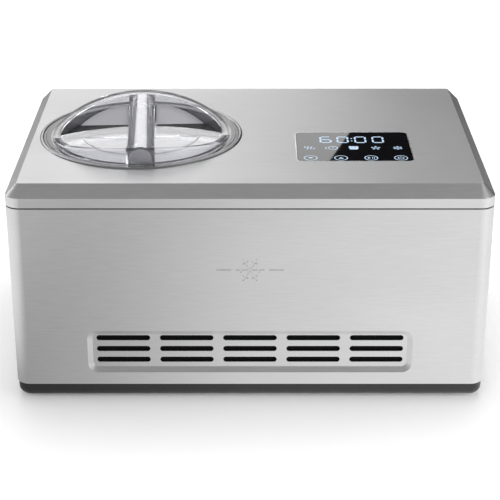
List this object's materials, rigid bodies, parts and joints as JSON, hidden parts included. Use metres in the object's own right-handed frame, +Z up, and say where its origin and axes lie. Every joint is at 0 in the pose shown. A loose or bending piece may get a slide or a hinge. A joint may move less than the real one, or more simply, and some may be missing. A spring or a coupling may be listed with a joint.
{
  "type": "compressor ice cream maker",
  "caption": "Steel box ice cream maker with a bevelled top, touch panel, front air slots and a clear lid over a lift-out bowl with a driven paddle.",
  "frame": {"origin": "on the floor under the centre of the case", "axes": "+Z up, +X to the right seen from the front, front towards -Y"},
  "size_m": [0.425, 0.285, 0.2245],
  "materials": {
    "brushed_steel": "brushed",
    "black_plastic": "satin",
    "grey_plastic": "satin",
    "black_rubber": "matte",
    "clear_plastic": "clear",
    "black_glass": "gloss",
    "bowl_aluminium": "satin",
    "white_plastic": "satin",
    "foam": "matte",
    "copper": "satin",
    "black_paint": "satin",
    "zinc_steel": "satin",
    "green_board": "satin"
  },
  "bodies": {
    "housing": {"outer_shell": "brushed_steel", "top_cover": "brushed_steel", "seam_gasket": "black_plastic", "base_tray": "black_plastic", "feet": "black_rubber", "rear_panel": "black_plastic", "rear_screws": "zinc_steel", "mains_inlet": "black_plastic", "rocker_bezel": "black_plastic", "opening_trim": "brushed_steel", "well_collar": "grey_plastic", "chilled_well": "bowl_aluminium", "evaporator_coil": "copper", "foam_jacket": "foam", "gearbox_housing": "white_plastic", "gearbox_cover": "white_plastic", "gearbox_screws": "zinc_steel", "motor_can": "zinc_steel", "compressor_can": "black_paint", "compressor_base": "zinc_steel", "compressor_grommets": "black_rubber", "compressor_bolts": "zinc_steel", "fan_frame": "black_plastic", "condenser_fins": "bowl_aluminium", "condenser_tube": "copper", "filter_drier": "copper", "discharge_pipe": "copper", "suction_pipe": "copper", "liquid_pipe": "copper", "capillary_tube": "copper", "power_board": "green_board", "board_posts": "zinc_steel", "display_glass": "black_glass", "display_module": "black_plastic", "display_board": "green_board"},
    "bowl": {"bowl": "bowl_aluminium"},
    "bail": {"bail": "zinc_steel", "bail_grip": "black_plastic"},
    "lid": {"lid": "clear_plastic"},
    "paddle": {"paddle": "white_plastic"},
    "output_drive": {"output_gear": "white_plastic", "drive_shaft": "zinc_steel"},
    "idler": {"idler_gear": "white_plastic"},
    "rotor": {"motor_rotor": "zinc_steel"},
    "fan": {"fan_rotor": "black_plastic"},
    "rocker": {"rocker_key": "black_plastic"}
  },
  "joints": [
    {"name": "bowl_lift", "type": "slide", "parent": "housing", "child": "bowl", "axis": [0, 0, 1], "range_m": [0, 0.16]},
    {"name": "lid_lift", "type": "slide", "parent": "bowl", "child": "lid", "axis": [0, 0, 1], "range_m": [0, 0.12]},
    {"name": "bail_swing", "type": "hinge", "parent": "bowl", "child": "bail", "pos_m": [-0.102, -0.0044, 0.182], "axis": [1, 0, 0], "range_deg": [0, 90]},
    {"name": "output_spin", "type": "hinge", "parent": "housing", "child": "output_drive", "pos_m": [-0.102, -0.0044, 0.02], "axis": [0, 0, 1], "continuous": true},
    {"name": "paddle_spin", "type": "hinge", "parent": "bowl", "child": "paddle", "pos_m": [-0.102, -0.0044, 0.1], "axis": [0, 0, 1], "continuous": true},
    {"name": "idler_spin", "type": "hinge", "parent": "housing", "child": "idler", "pos_m": [-0.0355, -0.0044, 0.02], "axis": [0, 0, 1], "continuous": true},
    {"name": "motor_spin", "type": "hinge", "parent": "housing", "child": "rotor", "pos_m": [0.0145, -0.0044, 0.03], "axis": [0, 0, 1], "continuous": true},
    {"name": "fan_spin", "type": "hinge", "parent": "housing", "child": "fan", "pos_m": [0.112, -0.085, 0.095], "axis": [0, 1, 0], "continuous": true},
    {"name": "rocker_press", "type": "hinge", "parent": "housing", "child": "rocker", "pos_m": [0.118, 0.1371, 0.052], "axis": [1, 0, 0], "range_deg": [0, 18]}
  ],
  "couplings": [
    {"joint": "bail_swing", "follows": "lid_lift", "rad_per_m": 12.363},
    {"joint": "paddle_spin", "follows": "output_spin", "ratio": 1},
    {"joint": "idler_spin", "follows": "output_spin", "ratio": -3.75},
    {"joint": "motor_spin", "follows": "output_spin", "ratio": 12.917}
  ]
}
